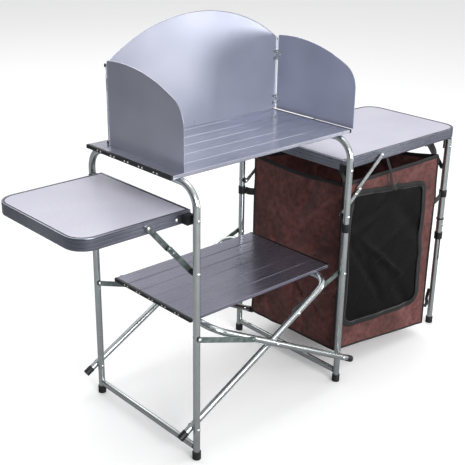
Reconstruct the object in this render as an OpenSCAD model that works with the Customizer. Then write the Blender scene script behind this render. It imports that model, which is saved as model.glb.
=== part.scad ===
// Folding camp kitchen table: two tubular end frames joined by a scissor, a roll-up cook top
// with a three-leaf windscreen, a roll-up lower shelf, two hinged side tables and a fabric
// cabinet hung under the right-hand one. X runs from the left table to the right table,
// Y to the back and Z up. The origin is under the left front leg, on the floor.

/* [Main frame] */
// Distance between the left and the right end frame
frame_pitch = 590; // [560:5:600]
// Distance between the front and the back leg of an end frame
leg_pitch = 446; // [440:2:450]
// Outer diameter of the frame tube
tube_d = 19; // [17:0.5:19]
// Height of the cooking surface
cook_h = 800; // [780:5:820]
// Bend radius of the end frames
bend_r = 60; // [50:5:65]

/* [Scissor] */
// Height of the scissor pivots on the legs
pivot_h = 92; // [85:1:95]
// Angle of the scissor tubes above the floor when the table stands open
scissor_a = 27.8; // [27:0.1:28.5]
// Height at which the flat links are riveted to the legs
link_h = 370; // [365:1:380]

/* [Tops] */
// Length of the cook top
cook_len = 664; // [640:2:680]
// Depth of the cook top
cook_depth = 360; // [340:2:360]
// Length of the lower shelf
shelf_len = 546; // [530:2:548]
// Depth of the lower shelf
shelf_depth = 342; // [330:2:342]
// Thickness of a slat
slat_t = 10; // [8:0.5:10]
// Number of slats in each roll-up top
slat_count = 6; // [6:1:6]

/* [Windscreen] */
// Width of the back leaf
screen_w = 628; // [600:2:630]
// Height of the leaves at their hinges
screen_h = 216; // [200:2:220]
// Height of the back leaf in the middle
screen_peak = 322; // [300:2:330]

/* [Side tables] */
// Height of the side table tops
table_h = 712; // [708:1:715]
// Depth of the side tables
table_depth = 380; // [370:2:380]
// Length of the left table
left_len = 330; // [300:2:340]
// Length of the right table
right_len = 580; // [570:2:590]
// Height of the edge rim
rim_h = 32; // [28:1:32]

/* [Cabinet] */
// Height of the cabinet's top edge above the floor
cabinet_top = 638; // [620:1:640]
// Travel of the telescopic legs
leg_travel = 120; // [80:5:130]

/* [Hidden] */
$fn = 48;
eps = 0.01;
wall = 1.5;
tube_r = tube_d / 2;
plane = 20;                       // step in Y between the tubes that pass each other
mid_l = leg_pitch / 2;            // middle of the left end frame
mid_r = mid_l + plane;            // middle of the right end frame
mid_top = mid_l + plane / 2;      // middle of the cook top and the shelf
bar_z = cook_h - slat_t - tube_r; // axis of the end frames' top bars
rivet_d = 6;
head_d = 11;
head_t = 2.5;
fit = 0.05;                       // radial clearance of a pivot

// scissor
arm = frame_pitch / 2 / cos(scissor_a);
cross_h = pivot_h + arm * sin(scissor_a);
shelf_top = 388.3;
shelf_bar_h = shelf_top - slat_t - 0.3 - tube_r;
arm_top = (shelf_bar_h - cross_h) / sin(scissor_a);
arm_tail = 43;                    // stretch of tube below the leg pivot
link_reach = 116.4;               // crossing to link rivet, along the tube
link_x = frame_pitch / 2 - link_reach * cos(scissor_a);
link_z = cross_h + link_reach * sin(scissor_a);
crossbar_h = 34;

// side tables
hinge_h = 693;
left_edge = 9;                    // inner edge of the left table
right_edge = frame_pitch + 9;     // inner edge of the right table
side_gap = mid_l - table_depth / 2; // leg axis to the table's side
stay_leg_h = 551;
stay_rim_h = 697;
left_stay_x = -126;
right_stay_x = frame_pitch + 182;
bar_w = 15;
slim_w = 12;
bar_t = 3;
rim_t = 4;
board_t = 18;
corner_r = 55;

// far legs
far_x = 1141;
far_y = 66;
far_r = 11;
far_pivot_h = 650;
far_top = 676;
far_joint_h = 330;
far_stay_x = 1062;
far_stay_h = 668;
far_stay_leg_h = 575;
lower_r = far_r - wall - fit;
button_h = 372;

// cook top and windscreen
cook_x = (frame_pitch - cook_len) / 2;
shelf_x = 31;
cap_t = 8;
screen_x = 7;
screen_y = 371;
sheet_t = 1.2;
screen_r = (pow(screen_w / 2, 2) + pow(screen_peak - screen_h, 2))
    / (2 * (screen_peak - screen_h));
hinge_gap = 3;
leaf_len = screen_w / 2 - 3.6;

// cabinet outline in plan: left front, right front, right back, left back
bag_plan = [[614, 56], [1048, 34], [1048, 432], [614, 432]];
bag_bottom_l = 84;
bag_bottom_r = 40;
cloth_t = 4;
door_x = [640, 1012];
door_z = [150, 596];

// ---------- shared shapes ----------

// Cylinder along +Y from the origin
module rod_y(r, len) {
    rotate([-90, 0, 0]) cylinder(r = r, h = len);
}

// Rivet along +Y: a shank with a domed head outside each end
module rivet(len, r = rivet_d / 2) {
    rod_y(r, len);
    for (end = [0, 1]) {
        translate([0, end * len, 0]) rotate([end ? -90 : 90, 0, 0]) dome();
    }
}

module dome() {
    dome_r = (pow(head_d / 2, 2) + pow(head_t, 2)) / (2 * head_t);
    intersection() {
        translate([0, 0, head_t - dome_r]) sphere(r = dome_r, $fn = 64);
        cylinder(d = head_d, h = head_t + 1);
    }
}

// Both sides of something that is symmetric about the plane y = mid
module both_sides(mid) {
    children();
    translate([0, 2 * mid, 0]) mirror([0, 1, 0]) children();
}

// Front and back copy of something that repeats with the leg spacing
module front_and_back() {
    children();
    translate([0, leg_pitch, 0]) children();
}

// Solid inverted U in the YZ plane: legs from z0 up to a top bar whose axis is at z1
module u_solid(z0, z1, r, bend, over = 0) {
    for (y = [0, leg_pitch]) {
        translate([0, y, z0 - over]) cylinder(r = r, h = z1 - bend - z0 + over);
    }
    for (side = [0, 1]) {
        translate([0, side ? leg_pitch - bend : bend, z1 - bend])
            rotate([90, 0, 90]) rotate([0, 0, side ? 0 : 90])
                rotate_extrude(angle = 90) translate([bend, 0]) circle(r = r);
    }
    translate([0, bend, z1]) rod_y(r, leg_pitch - 2 * bend);
}

module u_tube(z0, z1, bend) {
    difference() {
        u_solid(z0, z1, tube_r, bend);
        u_solid(z0, z1, tube_r - wall, bend, 1);
    }
}

// Bore along Y through both legs of a U frame
module leg_bores(z, r = rivet_d / 2 + eps) {
    for (y = [0, leg_pitch]) translate([0, y - tube_d, z]) rod_y(r, 2 * tube_d);
}

// Crossbar between two legs: a flattened tube with its ends against the legs
module crossbar_shape() {
    bar = leg_pitch - tube_d - 1;
    translate([0, tube_r + 0.5, crossbar_h]) rotate([-90, 0, 0]) difference() {
        linear_extrude(bar) flat_oval(14, 19);
        translate([0, 0, -1]) linear_extrude(bar + 2) flat_oval(14 - 2 * wall, 19 - 2 * wall);
    }
}

// Oval with straight sides: width a along X, height b along Y
module flat_oval(a, b) {
    for (s = [-1, 1]) translate([0, s * (b - a) / 2]) circle(d = a);
    square([a, b - a], center = true);
}

// Black plug between the end of a crossbar and its leg
module crossbar_plugs() {
    color("#1c1c1e") both_sides(mid_l)
        translate([0, tube_r, crossbar_h]) rotate([-90, 0, 0])
            linear_extrude(0.5) flat_oval(14, 19);
}

module feet() {
    color("#202022") for (y = [0, leg_pitch]) translate([0, y, 0]) difference() {
        cylinder(r = tube_r + 2.5, h = 22);
        translate([0, 0, 4]) cylinder(r = tube_r, h = 19);
    }
}

// Roll-up top made of hollow slats that run along X
module slat_profile(w) {
    c = 1.2;
    difference() {
        polygon([[c, 0], [w - c, 0], [w, c], [w, slat_t - c], [w - c, slat_t],
            [c, slat_t], [0, slat_t - c], [0, c]]);
        translate([wall, wall]) square([w - 2 * wall, slat_t - 2 * wall]);
    }
}

module slats(len, depth) {
    pitch = depth / slat_count;
    for (i = [0 : slat_count - 1]) {
        translate([0, i * pitch + 0.5, 0]) rotate([90, 0, 90])
            linear_extrude(len - 2 * cap_t) slat_profile(pitch - 1);
    }
}

module slat_caps(len, depth) {
    pitch = depth / slat_count;
    for (i = [0 : slat_count - 1], x = [-cap_t, len - 2 * cap_t]) {
        translate([x, i * pitch + 0.5, 0]) cube([cap_t, pitch - 1, slat_t]);
    }
}

// Pin heads in pairs beside each joint between two slats
module slat_pins(len, depth) {
    pitch = depth / slat_count;
    for (i = [1 : slat_count - 1], side = [-1, 1], end = [0, 1]) {
        translate([end ? len - cap_t : -cap_t - 1, i * pitch + side * 7, slat_t / 2])
            rotate([0, 90, 0]) cylinder(d = 4.5, h = 1);
    }
}

// Flat bar in the XZ plane from the origin, with a hole at its start
module flat_bar(len, angle, w = bar_w, hole = rivet_d / 2 + fit) {
    rotate([0, -angle, 0]) difference() {
        union() {
            translate([0, 0, -w / 2]) cube([len, bar_t, w]);
            for (x = [0, len]) translate([x, 0, 0]) rod_y(w / 2, bar_t);
        }
        translate([0, -1, 0]) rod_y(hole, bar_t + 2);
    }
}

// ---------- left end frame ----------

module left_end_frame() {
    color("#c9d2d0") difference() {
        u_tube(4, bar_z, bend_r);
        for (z = [pivot_h, link_h, stay_leg_h, hinge_h]) leg_bores(z);
    }
}

module left_crossbar() {
    color("#b9c2c2") crossbar_shape();
}

module left_feet() {
    feet();
}

module left_leg_rivets() {
    color("silver") {
        front_and_back() translate([0, -tube_r, pivot_h]) rivet(2 * tube_d + 1.3);
        front_and_back() translate([0, -tube_r - 5.3, link_h]) rivet(tube_d + 5.3);
        both_sides(mid_l) translate([0, -tube_r, stay_leg_h]) rivet(tube_d + 13.3);
        both_sides(mid_l) translate([0, -tube_r, hinge_h]) pin_rivet(tube_d + 14);
    }
}

// Rivet with a head at its start only
module pin_rivet(len) {
    rod_y(rivet_d / 2, len);
    rotate([90, 0, 0]) dome();
}

// Plastic spacers behind the links and stays, and the crossbar's end plugs
module leg_fittings(link_side) {
    color("#1c1c1e") {
        front_and_back() translate([0, link_side > 0 ? tube_r : -tube_r - 1.7, link_h])
            washer(1.7);
        both_sides(mid_l) translate([0, tube_r, stay_leg_h]) washer(9.2);
    }
    crossbar_plugs();
}

module washer(t, d = 16) {
    difference() {
        rod_y(d / 2, t);
        translate([0, -1, 0]) rod_y(rivet_d / 2 + eps, t + 2);
    }
}

module left_fittings() {
    leg_fittings(-1);
}

// ---------- scissor ----------

// U frame standing on its tails, turned about the leg pivot to the scissor's angle
module scissor_tube(bend = 45) {
    tail = arm_tail;
    reach = arm + arm_top;
    rotate([0, 90 - scissor_a, 0]) difference() {
        u_tube(-tail, reach, bend);
        leg_bores(0, rivet_d / 2 + fit);
        leg_bores(arm, rivet_d / 2 + fit);
        leg_bores(arm + link_reach);
    }
}

module place_a() {
    translate([0, plane, pivot_h]) children();
}

module place_b() {
    translate([frame_pitch, 0, pivot_h]) mirror([1, 0, 0]) children();
}

module tail_caps() {
    color("#1c1c1e") rotate([0, 90 - scissor_a, 0]) for (y = [0, leg_pitch]) {
        translate([0, y, -arm_tail - 4]) difference() {
            cylinder(r = tube_r + 0.9, h = 24);
            translate([0, 0, 4]) cylinder(r = tube_r, h = 21);
        }
    }
}

module scissor_frame_a() {
    color("#c9d2d0") place_a() scissor_tube();
}

module scissor_a_caps() {
    place_a() tail_caps();
}

// Crossing rivets and the rivets that hold the right-hand links
module scissor_a_rivets() {
    color("silver") {
        front_and_back() translate([frame_pitch / 2, -tube_r - 0.3, cross_h])
            rivet(2 * tube_d + 1.3);
        front_and_back() translate([frame_pitch - link_x, plane - tube_r, link_z])
            pin_rivet(tube_d);
    }
}

module scissor_frame_b() {
    color("#b4bdbd") place_b() scissor_tube();
}

module scissor_b_caps() {
    place_b() tail_caps();
}

// Flat link from a leg to the scissor tube; the far end carries its own rivet head
module link_bar(outward) {
    dx = link_x;
    dz = link_z - link_h;
    len = sqrt(dx * dx + dz * dz);
    flat_bar(len, atan2(dz, dx));
    translate([dx, outward ? 0 : bar_t, dz]) rotate([outward ? 90 : -90, 0, 0]) dome();
}

module left_link_bars() {
    color("#76847f") front_and_back()
        translate([0, -tube_r - 2 - bar_t, link_h]) link_bar(true);
}

module right_link_bars() {
    color("#76847f") front_and_back()
        translate([frame_pitch, plane + tube_r + 2, link_h]) mirror([1, 0, 0]) link_bar(false);
}

// ---------- right end frame ----------

module place_right() {
    translate([frame_pitch, plane, 0]) children();
}

module right_end_frame() {
    color("#c9d2d0") place_right() difference() {
        u_tube(4, bar_z, bend_r);
        for (z = [pivot_h, link_h, stay_leg_h, hinge_h]) leg_bores(z);
    }
}

module right_crossbar() {
    color("#b9c2c2") place_right() crossbar_shape();
}

module right_feet() {
    place_right() feet();
}

module right_leg_rivets() {
    color("silver") place_right() {
        front_and_back() translate([0, -tube_r - tube_d - 1.3, pivot_h])
            rivet(2 * tube_d + 1.3);
        front_and_back() translate([0, -tube_r, link_h]) rivet(tube_d + 5.3);
        both_sides(mid_l) translate([0, -tube_r, stay_leg_h]) rivet(tube_d + 13.3);
        both_sides(mid_l) translate([0, -tube_r, hinge_h]) pin_rivet(tube_d + 14);
    }
}

module right_fittings() {
    place_right() leg_fittings(1);
}

// Webbing loop around a leg
module strap_loop(r, z, h = 26) {
    translate([0, 0, z]) difference() {
        cylinder(r = r + 2, h = h);
        translate([0, 0, -1]) cylinder(r = r + 0.2, h = h + 2);
    }
}

module main_leg_straps() {
    color("#19191b") for (y = [plane, plane + leg_pitch]) {
        translate([frame_pitch, y, 0]) strap_loop(tube_r, 503);
    }
}

// ---------- lower shelf ----------

module place_shelf() {
    translate([shelf_x + cap_t, mid_top - shelf_depth / 2, shelf_top - slat_t]) children();
}

module shelf_slats() {
    color("#8f939f") place_shelf() slats(shelf_len, shelf_depth);
}

module shelf_end_caps() {
    color("#17181c") place_shelf() slat_caps(shelf_len, shelf_depth);
}

module shelf_pins() {
    color("#e6e6e8") place_shelf() slat_pins(shelf_len, shelf_depth);
}

// ---------- cook top ----------

module place_cook() {
    translate([cook_x + cap_t, mid_top - cook_depth / 2, cook_h - slat_t]) children();
}

module cook_slats() {
    color("#a4a9ba") place_cook() slats(cook_len, cook_depth);
}

module cook_end_caps() {
    color("#17181c") place_cook() slat_caps(cook_len, cook_depth);
}

module cook_pins() {
    color("#e6e6e8") place_cook() slat_pins(cook_len, cook_depth);
}

// Saddles under the slats that straddle the end frames' top bars
module cook_saddles() {
    saddle = [26, 16, 4];
    color("#17181c") for (x = [0, frame_pitch], y = [94, 350]) difference() {
        translate([x - saddle.x / 2, y, cook_h - slat_t - saddle.z]) cube(saddle);
        translate([x, y - 1, bar_z]) rod_y(tube_r + 0.3, saddle.y + 2);
    }
}

// ---------- windscreen ----------

module place_screen() {
    translate([screen_x, screen_y, cook_h + 0.3]) children();
}

// Back leaf: a rectangle under a flat arc, with the tab that keys its foot to the slats
module windscreen_back() {
    color("#8b8fa6") place_screen() {
        rotate([90, 0, 0]) translate([0, 0, -sheet_t]) linear_extrude(sheet_t) intersection() {
            square([screen_w, screen_peak]);
            translate([screen_w / 2, screen_peak - screen_r]) circle(r = screen_r, $fn = 200);
        }
        translate([screen_w / 2 - 15, sheet_t, 0]) cube([30, 12, 1.5]);
        translate([screen_w / 2 - 15, -1, 0]) cube([30, 1, 16]);
    }
}

// Side leaf in the XY plane, hinge edge on the Y axis, with a falling top edge
module side_leaf_outline() {
    top_r = 480;
    intersection() {
        translate([hinge_gap, 0]) square([leaf_len, screen_h + 12]);
        translate([60, screen_h + 12 - top_r]) circle(r = top_r, $fn = 200);
        union() {
            square([leaf_len - 45, screen_h + 12]);
            translate([leaf_len - 75 + hinge_gap, screen_h - 104]) circle(r = 75, $fn = 96);
            square([leaf_len + hinge_gap, screen_h - 104]);
            translate([leaf_len - 95, 0]) square([60, screen_h - 38]);
        }
    }
}

module side_leaf() {
    rotate([90, 0, -90]) translate([0, 0, -sheet_t / 2])
        linear_extrude(sheet_t) side_leaf_outline();
}

// Places a child with its hinge edge on the left or the right hinge line
module place_leaf(side) {
    translate([screen_x + side * screen_w, screen_y - hinge_gap, cook_h + 0.3]) children();
}

module windscreen_left() {
    color("#6b6f82") place_leaf(0) side_leaf();
}

module windscreen_right() {
    color("#9a9eb2") place_leaf(1) side_leaf();
}

// Height of each small hinge on a side, above the foot of the windscreen
hinge_spots = [14, 150];
knuckle = 10;

// Leaves of the hinges on a side leaf, with the middle knuckle
module screen_leaves(side) {
    dir = side ? -1 : 1;
    color("#d8dae0") place_leaf(side) for (z = hinge_spots) translate([0, 0, z]) {
        difference() {
            union() {
                translate([0, 0, knuckle + 0.2]) cylinder(r = 1.9, h = knuckle - 0.4);
                translate([side ? -1.4 : 0.6, -16, knuckle + 0.2])
                    cube([0.8, 15, knuckle - 0.4]);
            }
            translate([0, 0, -1]) cylinder(r = 1 + fit, h = 40);
        }
    }
}

module left_screen_leaves() {
    screen_leaves(0);
}

module right_screen_leaves() {
    screen_leaves(1);
}

// Hinge pins with the knuckles and leaves that are riveted to the back leaf
module screen_hinge_pins() {
    color("#d8dae0") for (side = [0, 1], z = hinge_spots) place_leaf(side)
        translate([0, 0, z]) {
            cylinder(r = 1, h = 3 * knuckle);
            for (k = [0, 2 * knuckle]) {
                translate([0, 0, k]) cylinder(r = 1.9, h = knuckle);
                translate([side ? -16 : 1, hinge_gap - 0.8, k]) cube([15, 0.8, knuckle]);
                translate([side ? -1.8 : 1, 0.5, k]) cube([0.8, hinge_gap - 0.5, knuckle]);
            }
        }
}

// ---------- side tables ----------

// Table outline in plan with its two outer corners rounded; x runs outward from the inner edge
module table_outline(len, inset = 0) {
    r = corner_r - inset;
    d = table_depth - 2 * inset;
    translate([inset, inset]) {
        square([len - inset - corner_r, d]);
        translate([0, r]) square([len - 2 * inset, d - 2 * r]);
        for (y = [r, d - r]) translate([len - 2 * inset - r, y]) circle(r = r, $fn = 96);
    }
}

module table_board(len) {
    translate([0, 0, table_h - board_t]) linear_extrude(board_t - 0.8)
        table_outline(len, rim_t);
}

module table_rim(len) {
    translate([0, 0, table_h - rim_h]) difference() {
        linear_extrude(rim_h) table_outline(len);
        translate([0, 0, -1]) linear_extrude(rim_h + 2) table_outline(len, rim_t);
    }
}

module place_left_table() {
    translate([left_edge, side_gap, 0]) mirror([1, 0, 0]) children();
}

module place_right_table() {
    translate([right_edge, plane + side_gap, 0]) children();
}

// Hinge block between the rim and the leg, measured from the leg axis
module hinge_block(out) {
    t = side_gap - tube_r - 1.5;
    difference() {
        translate([out > 0 ? -6 : -20, tube_r + 1.5, table_h - rim_h + 2])
            cube([out > 0 ? 38 : 24, t, rim_h - 8]);
        translate([0, 0, hinge_h]) rod_y(rivet_d / 2 + fit, tube_r + 16);
    }
}

// Rivet head on the rim, with the spacer that holds the stay away from it
module rim_rivet() {
    gap = side_gap - 29.3;
    translate([0, 25.5, 0]) {
        rod_y(rivet_d / 2, side_gap - 25.5 - eps);
        rotate([90, 0, 0]) dome();
    }
    translate([0, 29.3, 0]) difference() {
        rod_y(7, gap);
        translate([0, -1, 0]) rod_y(rivet_d / 2 - eps, gap + 2);
    }
}

module left_table_board() {
    color("#dcdaea") place_left_table() table_board(left_len);
}

module left_table_rim() {
    color("#b9bcc6") place_left_table() table_rim(left_len);
}

module left_table_brackets() {
    color("#17181c") both_sides(mid_l) hinge_block(-1);
}

module left_table_rivets() {
    color("silver") both_sides(mid_l) {
        translate([left_stay_x, 0, stay_rim_h]) rim_rivet();
        translate([-34, side_gap, hinge_h]) rotate([90, 0, 0]) dome();
    }
}

// Half of a stay: its hole end at p, pointing towards q, of the given length
module stay_half(p, q, len, y, w = bar_w) {
    translate([p.x, y, p.y]) flat_bar(len, atan2(q.y - p.y, q.x - p.x), w);
}

// Rivet heads near the middle joint of a stay, on the half nearer the leg, and the joint's spacer
module stay_heads(p, q, len, y, gap) {
    u = [q.x - p.x, q.y - p.y] / norm([q.x - p.x, q.y - p.y]);
    for (s = [len - 20, len]) {
        translate([p.x + s * u.x, y, p.y + s * u.y]) rotate([90, 0, 0]) dome();
    }
    translate([p.x + len * u.x, y + bar_t, p.y + len * u.y]) rod_y(5, gap);
}

left_p = [0, stay_leg_h];
left_q = [left_stay_x, stay_rim_h];
left_low = 104.5;
left_up = norm(left_q - left_p) - left_low;
right_p = [frame_pitch, stay_leg_h];
right_q = [right_stay_x, stay_rim_h];
right_low = 100;
right_up = norm(right_q - right_p) - right_low;
stay_in = 19;                      // leg axis to the inner face of the lower stay half
stay_gap = 3.7;
stay_out = stay_in + bar_t + stay_gap + 0.3;  // and of the upper half

module left_lower_stays() {
    color("#8e9a98") both_sides(mid_l) {
        stay_half(left_p, left_q, left_low, stay_in);
        stay_heads(left_p, left_q, left_low, stay_in, stay_gap);
    }
}

module left_upper_stays() {
    color("#8e9a98") both_sides(mid_l) stay_half(left_q, left_p, left_up, stay_out);
}

module right_lower_stays() {
    color("#8e9a98") both_sides(mid_r) {
        stay_half(right_p, right_q, right_low, plane + stay_in, slim_w);
        stay_heads(right_p, right_q, right_low, plane + stay_in, stay_gap);
    }
}

module right_upper_stays() {
    color("#8e9a98") both_sides(mid_r)
        stay_half(right_q, right_p, right_up, plane + stay_out, slim_w);
}

module right_table_board() {
    color("#dcdaea") place_right_table() table_board(right_len);
}

module right_table_rim() {
    color("#b9bcc6") place_right_table() table_rim(right_len);
}

module right_table_brackets() {
    color("#17181c") both_sides(mid_r) translate([frame_pitch, plane, 0]) hinge_block(1);
}

// Rivets on the right table: the stays' on the rim, and the far legs' and far stays' pivots
module right_table_rivets() {
    color("silver") both_sides(mid_r) {
        translate([right_stay_x, plane, stay_rim_h]) rim_rivet();
        translate([far_x, far_y - far_r - 0.3, far_pivot_h]) rivet(2 * far_r + 2.8);
        translate([far_stay_x, far_y + 20, far_stay_h]) pin_rivet(7.4);
    }
}

// Plates under the right table that carry the far legs and the far stays
module far_leg_brackets() {
    under = table_h - board_t;
    color("#9aa19f") both_sides(mid_r) {
        difference() {
            translate([far_x - 9, far_y + far_r + 0.5, far_pivot_h - 9])
                cube([25, 1.7, under - far_pivot_h + 9]);
            translate([far_x, far_y, far_pivot_h]) rod_y(rivet_d / 2 + eps, 20);
        }
        difference() {
            translate([far_stay_x - 10, far_y + 23.6, far_stay_h - 9])
                cube([20, 4, under - far_stay_h + 9]);
            translate([far_stay_x, far_y + 20, far_stay_h]) rod_y(rivet_d / 2 + eps, 20);
        }
    }
}

// ---------- far legs ----------

module far_upper_leg() {
    difference() {
        translate([far_x, far_y, far_joint_h]) difference() {
            cylinder(r = far_r, h = far_top - far_joint_h);
            translate([0, 0, -1]) cylinder(r = far_r - wall, h = far_top - far_joint_h - 1);
        }
        translate([far_x, far_y - 20, far_pivot_h]) rod_y(rivet_d / 2 + fit, 40);
        translate([far_x, far_y, far_stay_leg_h]) rod_y(rivet_d / 2 + eps, 20);
        translate([far_x, far_y - 20, button_h]) rod_y(3.05, 20);
    }
}

module far_upper_legs() {
    color("#c9d2d0") both_sides(mid_r) far_upper_leg();
}

module far_collars() {
    color("#17181c") both_sides(mid_r) translate([far_x, far_y, far_joint_h - 8]) difference() {
        cylinder(r = far_r + 2.6, h = 24);
        translate([0, 0, -1]) cylinder(r = lower_r + fit, h = 30);
        translate([0, 0, 8]) cylinder(r = far_r, h = 20);
    }
}

// Rivets that hold the far stays on the legs, with their spacers
module far_leg_rivets() {
    color("silver") both_sides(mid_r)
        translate([far_x, far_y + far_r - wall, far_stay_leg_h]) {
            rod_y(rivet_d / 2, wall + 6.2);
            translate([0, wall, 0]) rod_y(rivet_d / 2 + 2, 2.6);
            translate([0, wall + 6.2, 0]) rotate([-90, 0, 0]) dome();
        }
}

module far_leg_straps() {
    color("#19191b") both_sides(mid_r) translate([far_x, far_y, 0]) {
        strap_loop(far_r, 478, 22);
    }
}

// Lower leg tube with the slot that its button travels in
module far_lower_leg() {
    color("#c9d2d0") translate([far_x, far_y, 4]) difference() {
        cylinder(r = lower_r, h = 396);
        translate([0, 0, -1]) cylinder(r = lower_r - 1.2, h = 398);
        translate([-3.6, -tube_d, button_h - 12 - leg_travel])
            cube([7.2, tube_d, leg_travel + 16]);
    }
}

module far_foot() {
    color("#202022") translate([far_x, far_y, 0]) difference() {
        cylinder(r = lower_r + 2.5, h = 22);
        translate([0, 0, 4]) cylinder(r = lower_r, h = 19);
    }
}

module leg_button() {
    color("#d4d8da") translate([far_x, far_y - far_r - 3, button_h]) rod_y(3, 6);
}

module at_far_back() {
    translate([0, 2 * mid_r, 0]) mirror([0, 1, 0]) children();
}

module far_lower_leg_front() {
    far_lower_leg();
}

module far_lower_leg_back() {
    at_far_back() far_lower_leg();
}

module far_foot_front() {
    far_foot();
}

module far_foot_back() {
    at_far_back() far_foot();
}

module leg_button_front() {
    leg_button();
}

module leg_button_back() {
    at_far_back() leg_button();
}

far_p = [far_stay_x, far_stay_h];
far_q = [far_x, far_stay_leg_h];
far_low = 51.8;
far_up = norm(far_q - far_p) - far_low;

module far_stays_upper() {
    color("#8e9a98") both_sides(mid_r)
        stay_half(far_p, far_q, far_up, far_y + 20.3);
}

module far_stays_lower() {
    color("#8e9a98") both_sides(mid_r) {
        stay_half(far_q, far_p, far_low, far_y + 13.9);
        stay_heads(far_q, far_p, far_low, far_y + 13.9, 3.1);
    }
}

// ---------- fabric cabinet ----------

// Solid of the cabinet, drawn in by t on every side
module bag_solid(t) {
    slope = atan((bag_bottom_l - bag_bottom_r) / (bag_plan[1].x - bag_plan[0].x));
    difference() {
        linear_extrude(cabinet_top - t) polygon([
            bag_plan[0] + [t, t], bag_plan[1] + [-t, t],
            bag_plan[2] + [-t, -t], bag_plan[3] + [t, -t]]);
        translate([bag_plan[0].x - 20, 0, bag_bottom_l + t]) rotate([0, slope, 0])
            translate([-20, -20, -200]) cube([600, 520, 200]);
    }
}

// Front opening of the cabinet, cut straight through its front wall
module door_cut(gap) {
    translate([door_x[0] - gap, 20, door_z[0] - gap])
        cube([door_x[1] - door_x[0] + 2 * gap, 40, door_z[1] - door_z[0] + 2 * gap]);
}

module cabinet_shell() {
    color("#64403a") difference() {
        bag_solid(0);
        bag_solid(cloth_t);
        door_cut(0);
    }
}

// Mesh door with its border, in the plane of the front wall
module cabinet_door() {
    color("#1b1b1d") intersection() {
        difference() {
            bag_solid(0);
            bag_solid(cloth_t);
        }
        door_cut(-eps);
    }
}

module cabinet_shelf() {
    color("#3a2b29") intersection() {
        bag_solid(cloth_t + 0.5);
        translate([600, 0, 372]) cube([500, 500, 4]);
    }
}

// Hooks that hang the cabinet's corners from the table rim, and the tie at its top
module cabinet_straps() {
    color("#19191b") {
        for (x = [640, 1020], y = [84, 402]) translate([x, y, cabinet_top]) {
            cube([14, 3, table_h - board_t - cabinet_top]);
        }
        translate([800, 60, cabinet_top]) cube([18, 3, 20]);
    }
}

// ---------- assembly ----------

left_end_frame();
left_crossbar();
left_feet();
left_leg_rivets();
left_fittings();
scissor_frame_a();
scissor_a_caps();
scissor_a_rivets();
scissor_frame_b();
scissor_b_caps();
left_link_bars();
right_link_bars();
right_end_frame();
right_crossbar();
right_feet();
right_leg_rivets();
right_fittings();
main_leg_straps();
shelf_slats();
shelf_end_caps();
shelf_pins();
cook_slats();
cook_end_caps();
cook_pins();
cook_saddles();
windscreen_back();
screen_hinge_pins();
windscreen_left();
left_screen_leaves();
windscreen_right();
right_screen_leaves();
left_table_board();
left_table_rim();
left_table_brackets();
left_table_rivets();
left_upper_stays();
left_lower_stays();
right_table_board();
right_table_rim();
right_table_brackets();
right_table_rivets();
far_leg_brackets();
right_upper_stays();
right_lower_stays();
cabinet_shell();
cabinet_door();
cabinet_shelf();
cabinet_straps();
far_upper_legs();
far_collars();
far_leg_rivets();
far_leg_straps();
far_lower_leg_front();
far_lower_leg_back();
far_foot_front();
far_foot_back();
leg_button_front();
leg_button_back();
far_stays_upper();
far_stays_lower();
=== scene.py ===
# Folding camp kitchen table: tubular aluminium frame on a scissor, a roll-up cook top with a
# three-leaf windscreen, a roll-up shelf, two hinged side tables and a hanging fabric cabinet.
import math

import bmesh
import bpy
import numpy as np
from mathutils import Matrix, Vector


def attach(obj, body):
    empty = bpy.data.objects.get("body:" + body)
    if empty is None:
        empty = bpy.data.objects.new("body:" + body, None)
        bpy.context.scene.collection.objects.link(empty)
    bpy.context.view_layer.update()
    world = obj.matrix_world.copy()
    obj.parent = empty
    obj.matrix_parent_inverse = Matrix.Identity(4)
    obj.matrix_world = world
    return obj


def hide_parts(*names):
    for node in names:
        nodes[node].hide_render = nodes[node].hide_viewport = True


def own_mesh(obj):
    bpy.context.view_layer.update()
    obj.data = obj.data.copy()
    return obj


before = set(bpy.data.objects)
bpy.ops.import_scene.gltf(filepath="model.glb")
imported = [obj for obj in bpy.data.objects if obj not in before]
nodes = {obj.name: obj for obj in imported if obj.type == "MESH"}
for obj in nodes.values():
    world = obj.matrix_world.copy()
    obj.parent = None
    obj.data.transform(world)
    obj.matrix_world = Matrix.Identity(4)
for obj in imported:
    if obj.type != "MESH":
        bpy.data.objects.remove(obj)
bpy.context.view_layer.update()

# ---------------------------------------------------------------------------
# Camera, floor and studio light.
# A long lens looks down at the table's front left corner. The floor is a pale
# seamless sheet: the camera's own rays see it lighter and with a slight glow, and
# everything else sees it mid grey. The room is soft white, with some shade near
# the floor and on the left.
camera_data = bpy.data.cameras.new("camera")
camera_data.sensor_width = 36.0
camera_data.lens = 69.3
camera_data.shift_x = 0.0168
camera_data.shift_y = 0.0034
camera_data.clip_end = 60.0
camera = bpy.data.objects.new("camera", camera_data)
bpy.context.collection.objects.link(camera)
eye = Vector((-1.3118, -1.5467, 1.4869))
yaw, pitch, roll = 0.7373, 0.3875, 0.0124
view = Vector((math.sin(yaw) * math.cos(pitch), math.cos(yaw) * math.cos(pitch), -math.sin(pitch)))
level = Vector((math.cos(yaw), -math.sin(yaw), 0.0))
over = level.cross(view)
right = math.cos(roll) * level + math.sin(roll) * over
top = math.cos(roll) * over - math.sin(roll) * level
camera.matrix_world = Matrix.Translation(eye) @ Matrix((right, top, -view)).transposed().to_4x4()
bpy.context.scene.camera = camera
bpy.context.scene.view_settings.view_transform = "Standard"


def linear(hex_colour):
    """An sRGB hex colour as linear red, green, blue and alpha 1."""
    c = np.array([int(hex_colour[i:i + 2], 16) / 255.0 for i in (1, 3, 5)])
    c = np.where(c <= 0.04045, c / 12.92, ((c + 0.055) / 1.055) ** 2.4)
    return (*c.tolist(), 1.0)


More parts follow.
